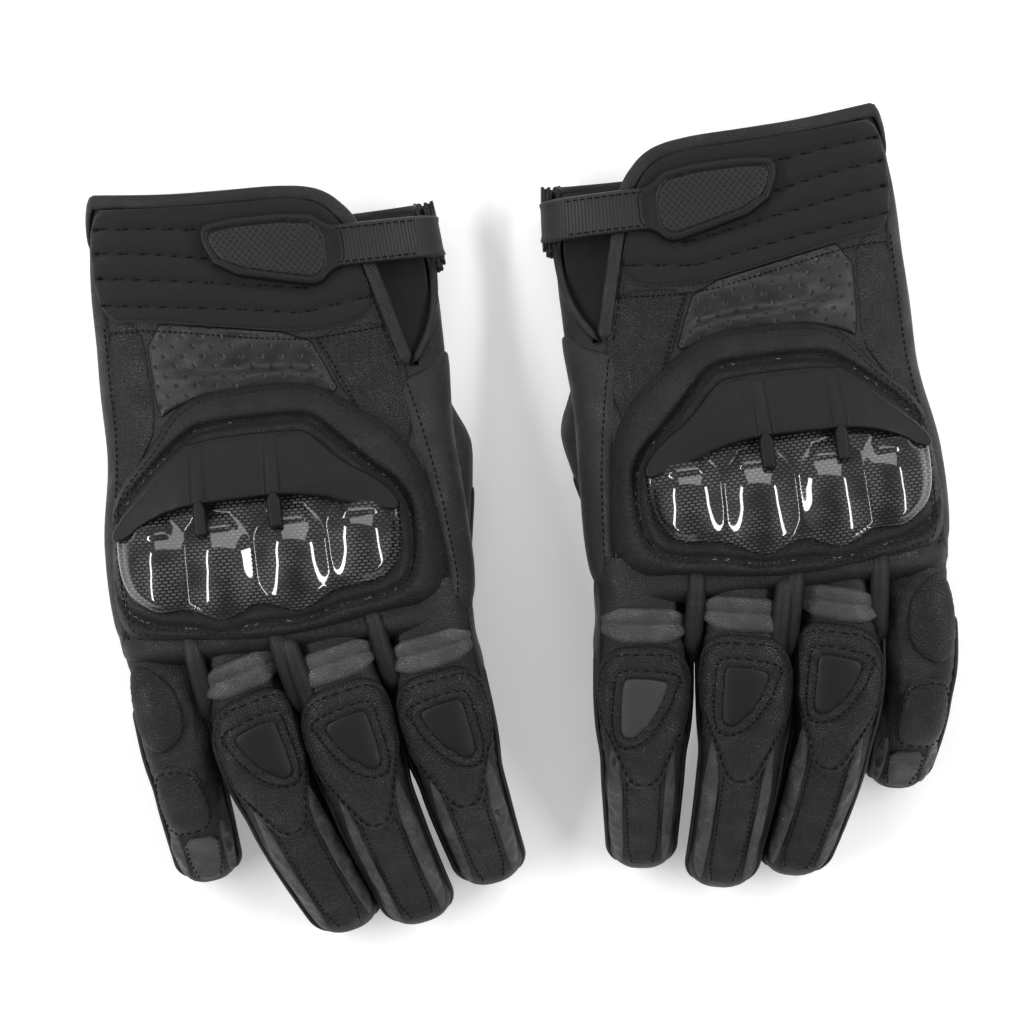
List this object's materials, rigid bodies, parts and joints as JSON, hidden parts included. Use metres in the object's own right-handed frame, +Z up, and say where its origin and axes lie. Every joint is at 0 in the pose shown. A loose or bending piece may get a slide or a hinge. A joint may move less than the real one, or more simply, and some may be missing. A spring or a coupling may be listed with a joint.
{
  "type": "riding gloves",
  "caption": "Pair of short-cuff leather riding gloves with hard knuckle guards, padded fingers and a peel-open wrist strap.",
  "frame": {"origin": "on the table, under the middle of the pair's bounding box", "axes": "+Z up from the table; +Y towards the cuffs; +X from the right-hand glove to the left-hand glove"},
  "size_m": [0.2674, 0.2596, 0.0609],
  "materials": {
    "leather_smooth": "fine grain, satin",
    "leather_rough": "matt suede-like grain",
    "leather_perforated": "smooth with small punched holes",
    "leather_glossy": "smooth, slightly glossy",
    "lining_fabric": "matt knit",
    "ribbed_fabric": "ribbed stretch weave",
    "carbon_weave": "woven fibre under a clear gloss coat",
    "moulded_plastic": "fine matt texture",
    "insert_plastic": "fine matt texture",
    "strap_rubber": "fine cross ribs",
    "tab_rubber": "dotted pattern",
    "hook_tape": "hook tape"
  },
  "bodies": {
    "hand_right": {"hand_shell_right": "leather_smooth", "lining_right": "lining_fabric", "palm_patch_right": "leather_rough", "cuff_panel_right": "ribbed_fabric", "cuff_binding_right": "leather_smooth", "perforated_panel_right": "leather_perforated", "knuckle_surround_right": "leather_smooth", "carbon_guard_right": "carbon_weave", "guard_hood_right": "moulded_plastic", "stretch_panels_right": "leather_glossy", "strap_anchor_right": "strap_rubber"},
    "strap_body_right": {"strap_right": "strap_rubber", "pull_tab_right": "tab_rubber", "hook_patch_right": "hook_tape"},
    "thumb_body_right": {"thumb_right": "leather_smooth"},
    "index_base_body_right": {"index_base_right": "leather_smooth", "index_pad_right": "leather_smooth", "index_insert_right": "insert_plastic"},
    "index_tip_body_right": {"index_tip_right": "leather_glossy"},
    "middle_base_body_right": {"middle_base_right": "leather_smooth", "middle_pad_right": "leather_smooth", "middle_insert_right": "insert_plastic"},
    "middle_tip_body_right": {"middle_tip_right": "leather_glossy"},
    "ring_base_body_right": {"ring_base_right": "leather_smooth", "ring_pad_right": "leather_smooth", "ring_insert_right": "insert_plastic"},
    "ring_tip_body_right": {"ring_tip_right": "leather_glossy"},
    "little_base_body_right": {"little_base_right": "leather_smooth", "little_pad_right": "leather_smooth"},
    "little_tip_body_right": {"little_tip_right": "leather_glossy"},
    "hand_left": {"hand_shell_left": "leather_smooth", "lining_left": "lining_fabric", "palm_patch_left": "leather_rough", "cuff_panel_left": "ribbed_fabric", "cuff_binding_left": "leather_smooth", "perforated_panel_left": "leather_perforated", "knuckle_surround_left": "leather_smooth", "carbon_guard_left": "carbon_weave", "guard_hood_left": "moulded_plastic", "stretch_panels_left": "leather_glossy", "strap_anchor_left": "strap_rubber"},
    "strap_body_left": {"strap_left": "strap_rubber", "pull_tab_left": "tab_rubber", "hook_patch_left": "hook_tape"},
    "thumb_body_left": {"thumb_left": "leather_smooth"},
    "index_base_body_left": {"index_base_left": "leather_smooth", "index_pad_left": "leather_smooth", "index_insert_left": "insert_plastic"},
    "index_tip_body_left": {"index_tip_left": "leather_glossy"},
    "middle_base_body_left": {"middle_base_left": "leather_smooth", "middle_pad_left": "leather_smooth", "middle_insert_left": "insert_plastic"},
    "middle_tip_body_left": {"middle_tip_left": "leather_glossy"},
    "ring_base_body_left": {"ring_base_left": "leather_smooth", "ring_pad_left": "leather_smooth", "ring_insert_left": "insert_plastic"},
    "ring_tip_body_left": {"ring_tip_left": "leather_glossy"},
    "little_base_body_left": {"little_base_left": "leather_smooth", "little_pad_left": "leather_smooth"},
    "little_tip_body_left": {"little_tip_left": "leather_glossy"}
  },
  "joints": [
    {"name": "index_knuckle_right", "type": "hinge", "parent": "hand_right", "child": "index_base_body_right", "pos_m": [-0.02496, -0.04228, 0.02469], "axis": [0.9659, 0.2588, 0], "range_deg": [-6, 55]},
    {"name": "index_middle_joint_right", "type": "hinge", "parent": "index_base_body_right", "child": "index_tip_body_right", "pos_m": [-0.01661, -0.07346, 0.01783], "axis": [0.9659, 0.2588, 0], "range_deg": [-10, 65]},
    {"name": "middle_knuckle_right", "type": "hinge", "parent": "hand_right", "child": "middle_base_body_right", "pos_m": [-0.05368, -0.04571, 0.02669], "axis": [0.9511, 0.309, 0], "range_deg": [-6, 55]},
    {"name": "middle_middle_joint_right", "type": "hinge", "parent": "middle_base_body_right", "child": "middle_tip_body_right", "pos_m": [-0.0428, -0.0792, 0.01921], "axis": [0.9511, 0.309, 0], "range_deg": [-10, 65]},
    {"name": "ring_knuckle_right", "type": "hinge", "parent": "hand_right", "child": "ring_base_body_right", "pos_m": [-0.08173, -0.04901, 0.02569], "axis": [0.9272, 0.3746, 0], "range_deg": [-6, 55]},
    {"name": "ring_middle_joint_right", "type": "hinge", "parent": "ring_base_body_right", "child": "ring_tip_body_right", "pos_m": [-0.06853, -0.08166, 0.01821], "axis": [0.9272, 0.3746, 0], "range_deg": [-10, 65]},
    {"name": "little_knuckle_right", "type": "hinge", "parent": "hand_right", "child": "little_base_body_right", "pos_m": [-0.10746, -0.05063, 0.02483], "axis": [0.9816, 0.1908, 0], "range_deg": [-6, 55]},
    {"name": "little_middle_joint_right", "type": "hinge", "parent": "little_base_body_right", "child": "little_tip_body_right", "pos_m": [-0.10242, -0.07655, 0.01921], "axis": [0.9816, 0.1908, 0], "range_deg": [-10, 65]},
    {"name": "thumb_joint_right", "type": "hinge", "parent": "hand_right", "child": "thumb_body_right", "pos_m": [-0.02486, 0.0222, 0.01005], "axis": [0, 0, 1], "range_deg": [0, 20]},
    {"name": "strap_peel_right", "type": "hinge", "parent": "hand_right", "child": "strap_body_right", "pos_m": [-0.02265, 0.08872, 0.0176], "axis": [-0.1219, 0.9925, 0], "range_deg": [0, 75]},
    {"name": "index_knuckle_left", "type": "hinge", "parent": "hand_left", "child": "index_base_body_left", "pos_m": [0.03982, -0.03444, 0.02469], "axis": [1, 0, 0], "range_deg": [-6, 55]},
    {"name": "index_middle_joint_left", "type": "hinge", "parent": "index_base_body_left", "child": "index_tip_body_left", "pos_m": [0.03982, -0.06672, 0.01783], "axis": [1, 0, 0], "range_deg": [-10, 65]},
    {"name": "middle_knuckle_left", "type": "hinge", "parent": "hand_left", "child": "middle_base_body_left", "pos_m": [0.06895, -0.03102, 0.02669], "axis": [0.9981, -0.061, 0], "range_deg": [-6, 55]},
    {"name": "middle_middle_joint_left", "type": "hinge", "parent": "middle_base_body_left", "child": "middle_tip_body_left", "pos_m": [0.0668, -0.06617, 0.01921], "axis": [0.9981, -0.061, 0], "range_deg": [-10, 65]},
    {"name": "ring_knuckle_left", "type": "hinge", "parent": "hand_left", "child": "ring_base_body_left", "pos_m": [0.09699, -0.0277, 0.02569], "axis": [0.9914, -0.1305, 0], "range_deg": [-6, 55]},
    {"name": "ring_middle_joint_left", "type": "hinge", "parent": "ring_base_body_left", "child": "ring_tip_body_left", "pos_m": [0.0924, -0.06261, 0.01821], "axis": [0.9914, -0.1305, 0], "range_deg": [-10, 65]},
    {"name": "little_knuckle_left", "type": "hinge", "parent": "hand_left", "child": "little_base_body_left", "pos_m": [0.12189, -0.02318, 0.02483], "axis": [0.999, -0.0436, 0], "range_deg": [-6, 55]},
    {"name": "little_middle_joint_left", "type": "hinge", "parent": "little_base_body_left", "child": "little_tip_body_left", "pos_m": [0.12074, -0.04956, 0.01921], "axis": [0.999, -0.0436, 0], "range_deg": [-10, 65]},
    {"name": "thumb_joint_left", "type": "hinge", "parent": "hand_left", "child": "thumb_body_left", "pos_m": [0.02538, 0.02836, 0.01005], "axis": [0, 0, -1], "range_deg": [0, 20]},
    {"name": "strap_peel_left", "type": "hinge", "parent": "hand_left", "child": "strap_body_left", "pos_m": [0.0077, 0.09252, 0.0176], "axis": [0.1132, -0.9936, 0], "range_deg": [0, 75]},
    {"name": "left_glove_lift", "type": "slide", "parent": "hand_right", "child": "hand_left", "axis": [0, 0, 1], "range_m": [0, 0.3]}
  ]
}
